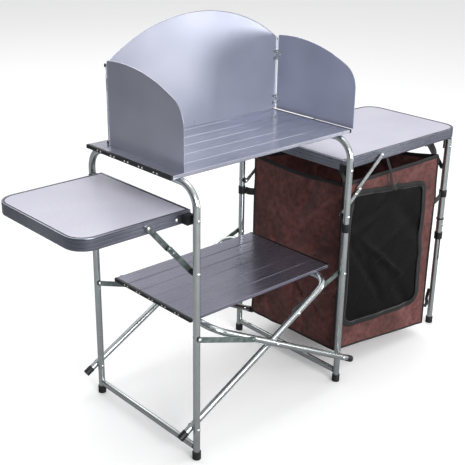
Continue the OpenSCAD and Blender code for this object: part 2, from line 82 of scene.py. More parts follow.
def add_node(tree, kind, sockets=None, **settings):
    """Adds a shader node with its settings, and sets or links its input sockets."""
    made = tree.nodes.new(kind)
    for name, value in settings.items():
        setattr(made, name, value)
    for name, value in (sockets or {}).items():
        if isinstance(value, bpy.types.NodeSocket):
            tree.links.new(value, made.inputs[name])
        else:
            made.inputs[name].default_value = value
    return made


def finish_material(name, metallic=0.0):
    """A Principled material with its node tree and shader, for more sockets to be set or linked."""
    mat = bpy.data.materials.new(name)
    mat.use_nodes = True
    tree = mat.node_tree
    tree.nodes.clear()
    shader = add_node(tree, "ShaderNodeBsdfPrincipled", {"Metallic": metallic})
    out = add_node(tree, "ShaderNodeOutputMaterial")
    tree.links.new(shader.outputs["BSDF"], out.inputs["Surface"])
    return mat, tree, shader


def noise(tree, scale, detail=3.0, stretch=(1, 1, 1), rough=0.5):
    """Noise in the piece's own metres: scale is features per metre, so 1000 is one a millimetre,
    and stretch multiplies it along X, Y and Z."""
    where = add_node(tree, "ShaderNodeTexCoord")
    place = add_node(tree, "ShaderNodeMapping", {"Vector": where.outputs["Object"],
                                                 "Scale": stretch})
    return add_node(tree, "ShaderNodeTexNoise", {"Vector": place.outputs["Vector"], "Scale": scale,
                                                 "Detail": detail, "Roughness": rough})


def ramp(tree, source, stops):
    """A colour ramp over stops of (position, hex colour)."""
    made = add_node(tree, "ShaderNodeValToRGB", {"Fac": source})
    for i, (at, colour) in enumerate(stops):
        stop = made.color_ramp.elements[i] if i < 2 else made.color_ramp.elements.new(at)
        stop.position = at
        stop.color = linear(colour) if isinstance(colour, str) else (colour, colour, colour, 1)
    return made.outputs["Color"]


def bump_from(tree, height, metres, strength=1.0):
    """A bump from a height texture, metres deep."""
    return add_node(tree, "ShaderNodeBump", {"Height": height, "Strength": strength,
                                             "Distance": metres}).outputs["Normal"]


floor_size = 30.0
floor_mesh = bpy.data.meshes.new("studio_floor")
floor_mesh.from_pydata([(-floor_size, -floor_size, -0.001), (floor_size, -floor_size, -0.001),
                        (floor_size, floor_size, -0.001), (-floor_size, floor_size, -0.001)], [],
                       [(0, 1, 2, 3)])
floor = bpy.data.objects.new("studio_floor", floor_mesh)
bpy.context.collection.objects.link(floor)
floor_paper, tree, shader = finish_material("white_floor_paper")
shader.inputs["Roughness"].default_value = 0.9
seen = add_node(tree, "ShaderNodeLightPath")
paper = add_node(tree, "ShaderNodeMixRGB", {"Fac": seen.outputs["Is Camera Ray"],
                                            "Color1": (0.34, 0.34, 0.35, 1),
                                            "Color2": (0.97, 0.97, 0.975, 1)})
tree.links.new(paper.outputs["Color"], shader.inputs["Base Color"])
shader.inputs["Emission Color"].default_value = (1, 1, 1, 1)
glow = add_node(tree, "ShaderNodeMath", {0: seen.outputs["Is Camera Ray"], 1: 0.14},
                operation="MULTIPLY")
tree.links.new(glow.outputs["Value"], shader.inputs["Emission Strength"])
floor_mesh.materials.append(floor_paper)

world = bpy.data.worlds.new("white_room")
bpy.context.scene.world = world
world.use_nodes = True
tree = world.node_tree
tree.nodes.clear()
way = add_node(tree, "ShaderNodeTexCoord")
split = add_node(tree, "ShaderNodeSeparateXYZ", {"Vector": way.outputs["Generated"]})
height = add_node(tree, "ShaderNodeMapRange", {"Value": split.outputs["Z"], "From Min": -0.2,
                                               "From Max": 0.8})
room = ramp(tree, height.outputs["Result"], [(0.0, 0.10), (1.0, 0.95), (0.28, 0.20), (0.55, 0.60)])
side = add_node(tree, "ShaderNodeMapRange", {"Value": split.outputs["X"], "From Min": -0.7,
                                             "From Max": 0.7, "To Min": 0.36, "To Max": 1.25})
lit = add_node(tree, "ShaderNodeVectorMath", {0: room, "Scale": side.outputs["Result"]},
               operation="SCALE")
seen = add_node(tree, "ShaderNodeLightPath")
mixed = add_node(tree, "ShaderNodeMixRGB", {"Fac": seen.outputs["Is Camera Ray"],
                                            "Color1": lit.outputs["Vector"],
                                            "Color2": (1, 1, 1, 1)})
back = add_node(tree, "ShaderNodeBackground", {"Color": mixed.outputs["Color"], "Strength": 1.0})
add_node(tree, "ShaderNodeOutputWorld", {"Surface": back.outputs["Background"]})


def soft_light(name, at, target, size, watts):
    """A square soft box at one point, turned to face another."""
    data = bpy.data.lights.new(name, "AREA")
    data.shape = "SQUARE"
    data.size = size
    data.energy = watts
    lamp = bpy.data.objects.new(name, data)
    bpy.context.collection.objects.link(lamp)
    lamp.location = at
    lamp.rotation_euler = (Vector(target) - Vector(at)).to_track_quat("-Z", "Y").to_euler()


middle = (0.45, 0.23, 0.5)
soft_light("key_soft_box", (-0.6, -3.9, 2.1), middle, 2.4, 150)
soft_light("top_soft_box", (1.2, 1.0, 4.2), middle, 3.2, 40)
soft_light("right_soft_box", (4.1, -2.9, 0.6), middle, 2.0, 60)
soft_light("back_soft_box", (1.6, 4.6, 4.6), middle, 3.0, 50)

# ---------------------------------------------------------------------------
# Frame tubes: both end frames, the two scissor frames, the crossbars and the
# telescopic far legs. Drawn 19 mm aluminium tube, bent cold and anodised, so it
# is bright with fine draw lines and a faint cool tint.
anodised_tube, tree, shader = finish_material("anodised_tube", metallic=1.0)
streak = noise(tree, 420, 4, (1, 1, 0.06))  # drawing lines along Z, 2.4 mm apart
cloudy = noise(tree, 22, 3)  # tone of the anodising, changing over 45 mm
tree.links.new(ramp(tree, cloudy.outputs["Fac"], [(0.2, "#c4cccb"), (0.8, "#d6dcdb")]),
               shader.inputs["Base Color"])
tree.links.new(ramp(tree, streak.outputs["Fac"], [(0.3, 0.2), (0.75, 0.28)]),
               shader.inputs["Roughness"])
tree.links.new(bump_from(tree, streak.outputs["Fac"], 0.00003, 0.4), shader.inputs["Normal"])


def dress(material, *names):
    """Gives these CAD nodes one material in every slot."""
    for name in names:
        mesh = nodes[name].data
        if not mesh.materials:
            mesh.materials.append(material)
        for i in range(len(mesh.materials)):
            mesh.materials[i] = material


dress(anodised_tube, "left_end_frame", "right_end_frame", "scissor_frame_a", "scissor_frame_b",
      "left_crossbar", "right_crossbar", "far_upper_legs", "far_lower_leg_front",
      "far_lower_leg_back")

# ---------------------------------------------------------------------------
# Flat links between the legs and the scissor tubes: pressed steel strip, painted
# a grey green satin and rubbed brighter in patches. Rivets hold both ends.
painted_strip, tree, shader = finish_material("painted_strip", metallic=0.55)
worn = noise(tree, 60, 5)  # patches of wear, 17 mm across
tree.links.new(ramp(tree, worn.outputs["Fac"], [(0.35, "#5f6d69"), (0.7, "#8b9894")]),
               shader.inputs["Base Color"])
shader.inputs["Roughness"].default_value = 0.38
tree.links.new(bump_from(tree, worn.outputs["Fac"], 0.0001, 0.4), shader.inputs["Normal"])
dress(painted_strip, "left_link_bars", "right_link_bars")

# ---------------------------------------------------------------------------
# Table stays: one zinc-plated strip, coloured darker on the left table's stays as painted shade and
# lighter on the right table's stays and the far legs' brackets as painted light. The short ones at
# the far legs are blackened. All pivot on rivets.


def plated_strip(name, dark, bright, rough):
    """Plated steel strip: cloudy zinc tones with fine rolling lines along X."""
    mat, tree, shader = finish_material(name, metallic=0.9)
    cloud = noise(tree, 90, 4)  # zinc clouds, 11 mm across
    line = noise(tree, 700, 2, (0.08, 1, 1))  # rolling lines, 1.4 mm apart
    tree.links.new(ramp(tree, cloud.outputs["Fac"], [(0.3, dark), (0.7, bright)]),
                   shader.inputs["Base Color"])
    shader.inputs["Roughness"].default_value = rough
    tree.links.new(bump_from(tree, line.outputs["Fac"], 0.00005, 0.5), shader.inputs["Normal"])
    return mat


# painted shade and painted light: the same plating in a darker and a lighter copy
shaded_zinc = plated_strip("shaded_zinc_strip", "#59625f", "#8d9996", 0.36)
lit_zinc = plated_strip("lit_zinc_strip", "#aeb4b3", "#dfe3e3", 0.26)
blackened = plated_strip("blackened_strip", "#232426", "#3a3b3d", 0.42)
dress(shaded_zinc, "left_upper_stays", "left_lower_stays")
dress(lit_zinc, "right_upper_stays", "right_lower_stays", "far_leg_brackets")
dress(blackened, "far_stays_upper", "far_stays_lower")

# ---------------------------------------------------------------------------
# Rivets and hinge pins: domed aluminium rivets, set cold, bright on the crown.
# The hinge leaves of the windscreen and the push buttons have the same finish.
rivet_metal, tree, shader = finish_material("bright_rivet", metallic=1.0)
dull = noise(tree, 300, 3)  # hammer marks, 3 mm across
tree.links.new(ramp(tree, dull.outputs["Fac"], [(0.3, "#c2c6c6"), (0.7, "#eceeee")]),
               shader.inputs["Base Color"])
tree.links.new(ramp(tree, dull.outputs["Fac"], [(0.3, 0.16), (0.8, 0.34)]),
               shader.inputs["Roughness"])
dress(rivet_metal, "left_leg_rivets", "right_leg_rivets", "scissor_a_rivets", "left_table_rivets",
      "right_table_rivets", "far_leg_rivets", "screen_hinge_pins", "left_screen_leaves",
      "right_screen_leaves", "leg_button_front", "leg_button_back")

# ---------------------------------------------------------------------------
# Black mouldings: spacers, tail caps, collars, hinge blocks, the saddles under
# the cook top and the end caps of every slat. Nylon with a fine spark texture.
black_nylon, tree, shader = finish_material("black_nylon")
grain = noise(tree, 1500, 2)  # spark texture of the mould, 0.7 mm
tone = noise(tree, 40, 3)
tree.links.new(ramp(tree, tone.outputs["Fac"], [(0.3, "#0c0d0e"), (0.75, "#191a1c")]),
               shader.inputs["Base Color"])
tree.links.new(ramp(tree, tone.outputs["Fac"], [(0.3, 0.38), (0.7, 0.52)]),
               shader.inputs["Roughness"])
tree.links.new(bump_from(tree, grain.outputs["Fac"], 0.0001, 0.35), shader.inputs["Normal"])
dress(black_nylon, "left_fittings", "right_fittings", "scissor_a_caps", "scissor_b_caps",
      "shelf_end_caps", "cook_end_caps", "cook_saddles", "left_table_brackets",
      "right_table_brackets", "far_collars")

# ---------------------------------------------------------------------------
# Pin heads in the end caps: white nylon pins, pressed in pairs through the end
# strips at each joint of the slats. They stay plain and slightly glossy.
white_pin, tree, shader = finish_material("white_pin")
shade = noise(tree, 500, 2)
tree.links.new(ramp(tree, shade.outputs["Fac"], [(0.3, "#dcdcde"), (0.7, "#f4f4f5")]),
               shader.inputs["Base Color"])
shader.inputs["Roughness"].default_value = 0.4
dress(white_pin, "shelf_pins", "cook_pins")

# ---------------------------------------------------------------------------
# Feet: black rubber cups, moulded and pushed over the ends of the legs. Rubber is
# matt, and dust turns it grey in patches.
foot_rubber, tree, shader = finish_material("foot_rubber")
dust = noise(tree, 140, 5)
tree.links.new(ramp(tree, dust.outputs["Fac"], [(0.4, "#17181a"), (0.85, "#3a3936")]),
               shader.inputs["Base Color"])
shader.inputs["Roughness"].default_value = 0.72
tree.links.new(bump_from(tree, dust.outputs["Fac"], 0.0002, 0.4), shader.inputs["Normal"])
dress(foot_rubber, "left_feet", "right_feet", "far_foot_front", "far_foot_back")

# ---------------------------------------------------------------------------
# Slats of the cook top and the shelf: hollow aluminium extrusions that hook into
# each other, so the tops roll up. Anodised a cool grey, with die lines along X.


def slat_finish(name, dark, bright, rough):
    """Anodised extrusion: fine die lines along X and a slow change of tone."""
    mat, tree, shader = finish_material(name, metallic=0.8)
    die = noise(tree, 900, 3, (0.012, 1, 1))  # die lines along X, 1.1 mm apart
    slow = noise(tree, 6, 2, (0.6, 1, 1))  # change of tone from slat to slat
    tree.links.new(ramp(tree, slow.outputs["Fac"], [(0.3, dark), (0.7, bright)]),
                   shader.inputs["Base Color"])
    tree.links.new(ramp(tree, die.outputs["Fac"], [(0.3, rough - 0.06), (0.75, rough + 0.08)]),
                   shader.inputs["Roughness"])
    tree.links.new(bump_from(tree, die.outputs["Fac"], 0.00008, 0.5), shader.inputs["Normal"])
    return mat


dress(slat_finish("cook_slat_anodised", "#b4b7c6", "#d2d4e0", 0.22), "cook_slats")
# The shelf's slats are the same extrusion as the cook top's; their darker colour is painted shade
# under the cook top.
dress(slat_finish("shelf_slat_shaded_anodised", "#807f90", "#9795a6", 0.24), "shelf_slats")

# ---------------------------------------------------------------------------
# Windscreen: three leaves of 1.2 mm aluminium sheet, brushed and anodised, with a
# narrow rolled edge round each. Two small hinges hold each side leaf to the back.


def sheet_finish(name, dark, bright):
    """Anodised sheet: faint brushing along Z and a slow change of tone."""
    mat, tree, shader = finish_material(name, metallic=0.55)
    brushed = noise(tree, 700, 3, (1, 1, 0.02))  # brushing along Z, 1.4 mm apart
    slow = noise(tree, 4, 2)
    tree.links.new(ramp(tree, slow.outputs["Fac"], [(0.3, dark), (0.7, bright)]),
                   shader.inputs["Base Color"])
    tree.links.new(ramp(tree, brushed.outputs["Fac"], [(0.3, 0.3), (0.75, 0.34)]),
                   shader.inputs["Roughness"])
    tree.links.new(bump_from(tree, brushed.outputs["Fac"], 0.00005, 0.08),
                   shader.inputs["Normal"])
    return mat


screen_sheet = sheet_finish("screen_sheet", "#a6aabc", "#bec1d0")
dress(screen_sheet, "windscreen_back", "windscreen_left", "windscreen_right")


def link_object(name, mesh, material, body, smooth=40.0):
    """Puts a finished mesh in the scene with its material, on a body, with soft edges smoothed."""
    piece = bpy.data.objects.new(name, mesh)
    bpy.context.collection.objects.link(piece)
    mesh.materials.append(material)
    mesh.polygons.foreach_set("use_smooth", np.ones(len(mesh.polygons), bool))
    mesh.set_sharp_from_angle(angle=math.radians(smooth))
    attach(piece, body)
    return piece


def grid_faces(rows, cols, wrap_rows=False, wrap_cols=False, start=0):
    """Quads between neighbours of a rows by cols grid of points, wrapped round where asked."""
    i, j = np.meshgrid(np.arange(rows if wrap_rows else rows - 1),
                       np.arange(cols if wrap_cols else cols - 1), indexing="ij")
    k, m = (i + 1) % rows, (j + 1) % cols
    quad = np.stack([i * cols + j, i * cols + m, k * cols + m, k * cols + j], -1)
    return quad.reshape(-1, 4) + start


def mesh_from(name, points, faces):
    """A mesh from arrays in millimetres, with doubles merged and normals turned outward."""
    mesh = bpy.data.meshes.new(name)
    mesh.from_pydata((np.asarray(points, float).reshape(-1, 3) / 1000).tolist(), [],
                     [list(map(int, f)) for f in faces])
    work = bmesh.new()
    work.from_mesh(mesh)
    bmesh.ops.remove_doubles(work, verts=work.verts, dist=1e-6)
    bmesh.ops.recalc_face_normals(work, faces=work.faces)
    work.to_mesh(mesh)
    work.free()
    mesh.update()
    return mesh


def sweep(path, across, section, closed=False):
    """Carries a closed section along a path: point = path + a * across + b * (tangent x across).
    Open ends are closed by shrinking the last ring onto its middle."""
    path = np.asarray(path, float)
    if closed:
        run = np.roll(path, -1, 0) - np.roll(path, 1, 0)
    else:
        run = np.gradient(path, axis=0)
    run /= np.linalg.norm(run, axis=1)[:, None]
    across = np.broadcast_to(np.asarray(across, float), path.shape)
    across = across - (across * run).sum(1)[:, None] * run
    across = across / np.linalg.norm(across, axis=1)[:, None]
    other = np.cross(run, across)
    section = np.asarray(section, float)
    rings = (path[:, None] + section[None, :, :1] * across[:, None]
             + section[None, :, 1:] * other[:, None])
    if not closed:
        first = np.repeat(rings[:1].mean(1, keepdims=True), rings.shape[1], 1)
        last = np.repeat(rings[-1:].mean(1, keepdims=True), rings.shape[1], 1)
        rings = np.concatenate([first, rings, last])
    return rings, grid_faces(rings.shape[0], rings.shape[1], wrap_rows=closed, wrap_cols=True)


def join_sweeps(name, parts):
    """One mesh from several (rings, faces) pairs."""
    points, faces, start = [], [], 0
    for rings, quads in parts:
        points.append(rings.reshape(-1, 3))
        faces.append(quads + start)
        start += rings.shape[0] * rings.shape[1]
    return mesh_from(name, np.concatenate(points), np.concatenate(faces))


def ring_section(radius, sides=10):
    """A circle as the section of a sweep."""
    a = np.linspace(0, 2 * np.pi, sides, endpoint=False)
    return np.stack([radius * np.cos(a), radius * np.sin(a)], 1)


def strip_section(width, thick):
    """A flat oval: half circles of the thickness at both ends of the width."""
    a = np.linspace(-np.pi / 2, np.pi / 2, 5)
    r = thick / 2
    x, y = (width / 2 - r) + r * np.cos(a), r * np.sin(a)
    return np.concatenate([np.stack([x, y], 1), np.stack([-x, -y], 1)])


def smooth_path(points, count=40):
    """A Catmull-Rom curve through the points, sampled evenly in its parameter."""
    p = np.asarray(points, float)
    p = np.concatenate([2 * p[:1] - p[1:2], p, 2 * p[-1:] - p[-2:-1]])
    t = np.linspace(0, len(p) - 3 - 1e-9, count)
    k = t.astype(int)
    f = (t - k)[:, None]
    a, b, c, d = p[k], p[k + 1], p[k + 2], p[k + 3]
    return 0.5 * (2 * b + (c - a) * f + (2 * a - 5 * b + 4 * c - d) * f ** 2
                  + (3 * b - 3 * c + d - a) * f ** 3)


edge_bright, tree, shader = finish_material("rolled_edge", metallic=1.0)
nick = noise(tree, 200, 3)
tree.links.new(ramp(tree, nick.outputs["Fac"], [(0.3, "#aeb2c2"), (0.7, "#d9dce6")]),
               shader.inputs["Base Color"])
shader.inputs["Roughness"].default_value = 0.3

# the back leaf in millimetres: its left end, its plane and its foot, then its width, the height
# of its corners and the height of its arched top
screen_x, screen_y, screen_foot = 7.0, 371.0, 800.3
screen_w, screen_h, screen_peak = 628.0, 216.0, 322.0
bead_r = 1.1
arc_r = ((screen_w / 2) ** 2 + (screen_peak - screen_h) ** 2) / (2 * (screen_peak - screen_h))
x = np.linspace(0, screen_w, 90)
z = screen_peak - arc_r + np.sqrt(arc_r ** 2 - (x - screen_w / 2) ** 2)
back_edge = np.stack([screen_x + x, np.full_like(x, screen_y + 0.6), screen_foot + z - 0.4], 1)
back_edge = np.concatenate([[[screen_x + 0.6, screen_y + 0.6, screen_foot + 1]], back_edge,
                            [[screen_x + screen_w - 0.6, screen_y + 0.6, screen_foot + 1]]])
link_object("back_leaf_edge", join_sweeps("back_leaf_edge", [
    sweep(back_edge, (0, 1, 0), ring_section(bead_r, 8))]), edge_bright, "cook_top")


def leaf_edge(x0):
    """The side leaf's edge, by its distance d from the hinge: z = top - r + sqrt(r^2 - (d - 60)^2)
    along the top, then a rounded corner down to the foot."""
    leaf_top, arc = 228, 480
    d = np.linspace(3, 262, 50)
    ztop = np.minimum(leaf_top, leaf_top - arc + np.sqrt(arc ** 2 - (d - 60) ** 2))
    a = np.linspace(0.62, 0, 16) * np.pi / 2
    corner_d = 237 + 75 * np.cos(a)
    corner_z = 112 + 75 * np.sin(a)
    dd = np.concatenate([[3, 3], d[1:-8], corner_d, [312, 312]])
    zz = np.concatenate([[2, 222], ztop[1:-8], corner_z, [60, 2]])
    return np.stack([np.full_like(dd, x0), screen_y - 3 - dd, screen_foot + zz], 1)


for side, body, label in ((0.0, "screen_left", "left"), (1.0, "screen_right", "right")):
    link_object(label + "_leaf_edge", join_sweeps(label + "_leaf_edge", [
        sweep(leaf_edge(screen_x + side * screen_w), (1, 0, 0), ring_section(bead_r, 8))]),
        edge_bright, body)

# ---------------------------------------------------------------------------
# Corner bumpers: small black mouldings clipped over the back leaf's upper and
# lower corners, so that the sheet can't scratch when the windscreen is folded.
bumpers = []
for bx in (screen_x, screen_x + screen_w):
    for bz in (screen_foot + 5, screen_foot + screen_h - 4):
        path = np.stack([np.full(6, bx), np.full(6, screen_y + 2.6),
                         bz + np.linspace(-5, 5, 6)], 1)
        swell = np.array([0.6, 0.95, 1, 1, 0.95, 0.6])
        rings, quads = sweep(path, (1, 0, 0), ring_section(3.2, 12))
        centre = rings.mean(1, keepdims=True)
        rings[1:-1] = centre[1:-1] + (rings[1:-1] - centre[1:-1]) * swell[:, None, None]
        bumpers.append((rings, quads))
link_object("screen_corner_bumpers", join_sweeps("screen_corner_bumpers", bumpers), black_nylon,
            "cook_top")

# ---------------------------------------------------------------------------
# Side table tops: a board faced with pale lavender laminate, let into the rim.
# The laminate is smooth and slightly glossy, with a fine fleck in its print.
laminate, tree, shader = finish_material("lavender_laminate")
speck = noise(tree, 260, 4)  # printed fleck, 4 mm across
broad = noise(tree, 5, 3)
tone = add_node(tree, "ShaderNodeMixRGB", {
    "Fac": 0.35, "Color1": ramp(tree, broad.outputs["Fac"], [(0.3, "#c3c0d2"), (0.7, "#d2d0de")]),
    "Color2": ramp(tree, speck.outputs["Fac"], [(0.35, "#bfbccf"), (0.65, "#dcdbe6")])})
tree.links.new(tone.outputs["Color"], shader.inputs["Base Color"])
shader.inputs["Roughness"].default_value = 0.3
tree.links.new(bump_from(tree, speck.outputs["Fac"], 0.00005, 0.3), shader.inputs["Normal"])
dress(laminate, "left_table_board", "right_table_board")

# ---------------------------------------------------------------------------
# Table rims: ribbed aluminium edging, bent round the two outer corners of each
# table and riveted at its ends. Its section has a round top lip and two ribs.
rim_metal, tree, shader = finish_material("ribbed_rim", metallic=0.95)
drawn = noise(tree, 500, 3, (0.05, 0.05, 1))  # drawing lines round the rim, 2 mm apart
slow = noise(tree, 7, 2)
tree.links.new(ramp(tree, slow.outputs["Fac"], [(0.3, "#747884"), (0.7, "#9296a2")]),
               shader.inputs["Base Color"])
tree.links.new(ramp(tree, drawn.outputs["Fac"], [(0.3, 0.24), (0.75, 0.4)]),
               shader.inputs["Roughness"])
tree.links.new(bump_from(tree, drawn.outputs["Fac"], 0.00006, 0.4), shader.inputs["Normal"])


def rim_outline(inner, outer, y0, y1, radius, out):
    """The table's outline moved outwards by out: square inner corners, arcs at the outer ones."""
    s = 1.0 if outer > inner else -1.0
    a = np.linspace(0, np.pi / 2, 14)
    r = radius + out
    front = np.stack([outer - s * radius + s * r * np.sin(a), y0 + radius - r * np.cos(a)], 1)
    rear = np.stack([outer - s * radius + s * r * np.cos(a), y1 - radius + r * np.sin(a)], 1)
    start = np.array([[inner - s * out, y0 - out], [inner + s * 20, y0 - out]])
    end = np.array([[inner + s * 20, y1 + out], [inner - s * out, y1 + out]])
    return np.concatenate([start, front, rear, end])


# out from the rim's face, and height, going round the section
rim_profile = np.array([
    (-3.6, 680.2), (-1.2, 680.2), (-0.3, 681.0), (0, 682.5), (0, 686), (-1.1, 687),
    (-1.1, 688.4), (0, 689.4), (0, 696), (-1.1, 697), (-1.1, 698.4), (0, 699.4), (0, 706),
    (-0.9, 706.8), (-0.9, 708), (-0.2, 708.8), (0.1, 710.2), (-0.5, 711.5), (-2.2, 712.2),
    (-5.2, 712.2), (-6.6, 711.3), (-3.6, 711.0)])
corner_r = 55.0  # radius of the rim's outer corners


def ribbed_rim(name, inner, outer, y0, y1, body, node_name):
    """Surface from two parameters: place round the outline, and place round the rim's section."""
    rings = np.stack([np.concatenate([rim_outline(inner, outer, y0, y1, corner_r, o),
                                      np.full((32, 1), h)], 1) for o, h in rim_profile], 1)
    mesh = mesh_from(name, rings, grid_faces(rings.shape[0], rings.shape[1], True, True))
    piece = link_object(name, mesh, rim_metal, body, 35.0)
    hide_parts(node_name)


ribbed_rim("left_ribbed_rim", 9.0, -321.0, 33.0, 413.0, "left_table", "left_table_rim")
ribbed_rim("right_ribbed_rim", 599.0, 1179.0, 53.0, 433.0, "right_table", "right_table_rim")


def seam(name, inner, outer, y0, y1, body):
    """A thin dark bead along the line where the laminate meets the rim."""
    loop = np.concatenate([rim_outline(inner, outer, y0, y1, corner_r, -7.2),
                           np.full((32, 1), 711.6)], 1)
    return link_object(name, join_sweeps(name, [sweep(loop, (0, 0, 1), ring_section(0.9, 6),
                                                      closed=True)]), black_nylon, body)


seam("left_board_seam", 9.0, -321.0, 33.0, 413.0, "left_table")
seam("right_board_seam", 599.0, 1179.0, 53.0, 433.0, "right_table")

# ---------------------------------------------------------------------------
# Cabinet walls: brown woven polyester, cut as four walls and a floor and sewn
# together. It hangs slack from the table, so its top edges sag and its walls
# bulge and crease between the corners.


def woven_cloth(name, dark, bright, sheen=0.25):
    """Woven polyester: two crossed thread waves for the weave, a crease bump, and clouds of painted
    crease shade in the colour.
    The threads are drawn 3.6 mm apart, which is coarser than in real cloth."""
    wave_span, thread_pitch = 0.31416, 0.0036  # metres: one wave at scale 1, and one as drawn
    mat, tree, shader = finish_material(name)
    where = add_node(tree, "ShaderNodeTexCoord")
    waves = []
    for axis in ("X", "Z"):
        waves.append(add_node(tree, "ShaderNodeTexWave", {
            "Vector": where.outputs["Object"], "Scale": wave_span / thread_pitch,
            "Distortion": 0.6, "Detail": 1.0}, bands_direction=axis))
    weave = add_node(tree, "ShaderNodeMath", {0: waves[0].outputs["Fac"],
                                              1: waves[1].outputs["Fac"]}, operation="MAXIMUM")
    # painted crease shade: these clouds darken the cloth's colour the way shade in its creases
    # would
    cloud = noise(tree, 9, 5)
    fine = noise(tree, 60, 4)
    both = add_node(tree, "ShaderNodeMath", {0: cloud.outputs["Fac"], 1: fine.outputs["Fac"]},
                    operation="MULTIPLY_ADD")
    both.inputs[2].default_value = 0.12
    tree.links.new(ramp(tree, both.outputs["Value"], [(0.22, dark), (0.52, bright)]),
                   shader.inputs["Base Color"])
    shader.inputs["Roughness"].default_value = 0.7
    shader.inputs["Specular IOR Level"].default_value = 0.3
    shader.inputs["Sheen Weight"].default_value = sheen
    shader.inputs["Sheen Roughness"].default_value = 0.4
    crease = bump_from(tree, fine.outputs["Fac"], 0.0012, 0.5)
    thread_bump = add_node(tree, "ShaderNodeBump", {"Height": weave.outputs["Value"],
                                                    "Strength": 0.35, "Distance": 0.0002,
                                                    "Normal": crease})
    tree.links.new(thread_bump.outputs["Normal"], shader.inputs["Normal"])
    return mat


brown_cloth = woven_cloth("brown_polyester", "#422421", "#7a4b47")
black_lining = woven_cloth("black_lining", "#151314", "#2a2525", sheen=0.1)

# the cabinet's corners at the top and at the bottom, going round from the left front
bag_top = np.array([(614, 57, 634), (1046, 35, 642), (1046, 430, 642), (614, 430, 636)], float)
bag_low = np.array([(614, 57, 84), (1048, 35, 42), (1048, 430, 42), (614, 428, 80)], float)
sag = [6.0, 22.0, 20.0, 14.0]  # of the front, right, back and left wall's top edge
out_way = np.array([(0.05, -1, 0), (1, 0, 0), (0, 1, 0), (-1, 0, 0)], float)


def crumple(s, t, seed):
    """Creases in millimetres: the sum over lines of height * exp(-(distance / width)^2), with
    slanting lines placed by the seed, on a slow swell."""
    pick = np.random.default_rng(seed)
    total = 1.6 * np.sin(2 * np.pi * (0.8 * s + 1.3 * t) + pick.uniform(0, 6.28))
    for _ in range(26):
        cs, ct, lean = pick.uniform(0.05, 0.95), pick.uniform(0.0, 1.0), pick.uniform(0.35, 1.35)
        lean = lean if pick.uniform() < 0.7 else -lean
        across = (s - cs) * np.cos(lean) * 0.7 + (t - ct) * np.sin(lean)
        along = (t - ct) * np.cos(lean) - (s - cs) * np.sin(lean) * 0.7
        width, reach = pick.uniform(0.016, 0.045), pick.uniform(0.12, 0.34)
        total += (pick.choice((-1, 1)) * pick.uniform(3.0, 7.5) * np.exp(-(across / width) ** 2)
                  * np.exp(-(along / reach) ** 2))
    fade = np.clip(np.minimum(np.minimum(s, 1 - s), np.minimum(t, 1 - t)) / 0.08, 0, 1)
    return total * (0.3 + 0.7 * fade)


def wall_point(k, s, t):
    """Point of wall k: between its corners by s, down by t, bulged outward by a sine dome,
    with the top edge let down by a parabola and creases added."""
    a, b = bag_top[k], bag_top[(k + 1) % 4]
    c, d = bag_low[k], bag_low[(k + 1) % 4]
    s3, t3 = s[..., None], t[..., None]
    upper = a + (b - a) * s3
    lower = c + (d - c) * s3
    upper = upper - np.array([0, 0, 1.0]) * (sag[k] * 4 * s * (1 - s))[..., None]
    p = upper + (lower - upper) * t3
    dome = (5.0 if k == 0 else 8.0) * np.sin(np.pi * s) * np.sin(np.pi * np.clip(t, 0, 1))
    inward = 7.0 * np.sin(np.pi * s) * (1 - t) ** 3
    push = dome - inward + crumple(s, t, 20 + k) * (0.8 if k == 0 else 1.5)
    return p + out_way[k] * push[..., None]


def cloth_piece(name, points, faces, material, thick=1.2):
    """A cloth wall given its thickness, on the right table."""
    mesh = mesh_from(name, points, faces)
    piece = link_object(name, mesh, material, "right_table", 75.0)
    skin = piece.modifiers.new("thickness", "SOLIDIFY")
    skin.thickness = thick / 1000
    skin.offset = 0
    return piece


def soften(piece):
    """Gives the piece its own copy of its mesh."""
    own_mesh(piece)
    return piece


# door opening in the front wall, as corners in (s, t): top left, top right, low right, low left
door = np.array([(0.080, 0.062), (0.865, 0.128), (0.895, 0.846), (0.075, 0.865)])


def door_point(u, v):
    """Bilinear place inside the door opening, as the front wall's own (s, t)."""
    u, v = u[..., None], v[..., None]
    return ((door[0] * (1 - u) + door[1] * u) * (1 - v) + (door[3] * (1 - u) + door[2] * u) * v)


def door_outline(count=160, inset=0.0):
    """Rounded rectangle in the door's own (u, v): small radii at the top, large at the foot."""
    def arc(cx, cy, r, a0, a1):
        a = np.linspace(a0, a1, 12)
        return np.stack([cx + r[0] * np.cos(a), cy + r[1] * np.sin(a)], 1)
    i = inset
    small, large = (0.05, 0.04), (0.12, 0.09)
    pieces = [arc(small[0] + i, small[1] + i, small, np.pi, 1.5 * np.pi),
              arc(1 - small[0] - i, small[1] + i, small, 1.5 * np.pi, 2 * np.pi),
              arc(1 - large[0] - i, 1 - large[1] - i, large, 0, 0.5 * np.pi),
              arc(large[0] + i, 1 - large[1] - i, large, 0.5 * np.pi, np.pi)]
    loop = np.concatenate(pieces)
    step = np.linalg.norm(np.diff(loop, axis=0, append=loop[:1]), axis=1)
    at = np.concatenate([[0], np.cumsum(step)])
    want = np.linspace(0, at[-1], count, endpoint=False)
    loop = np.concatenate([loop, loop[:1]])
    return np.stack([np.interp(want, at, loop[:, i]) for i in (0, 1)], 1)


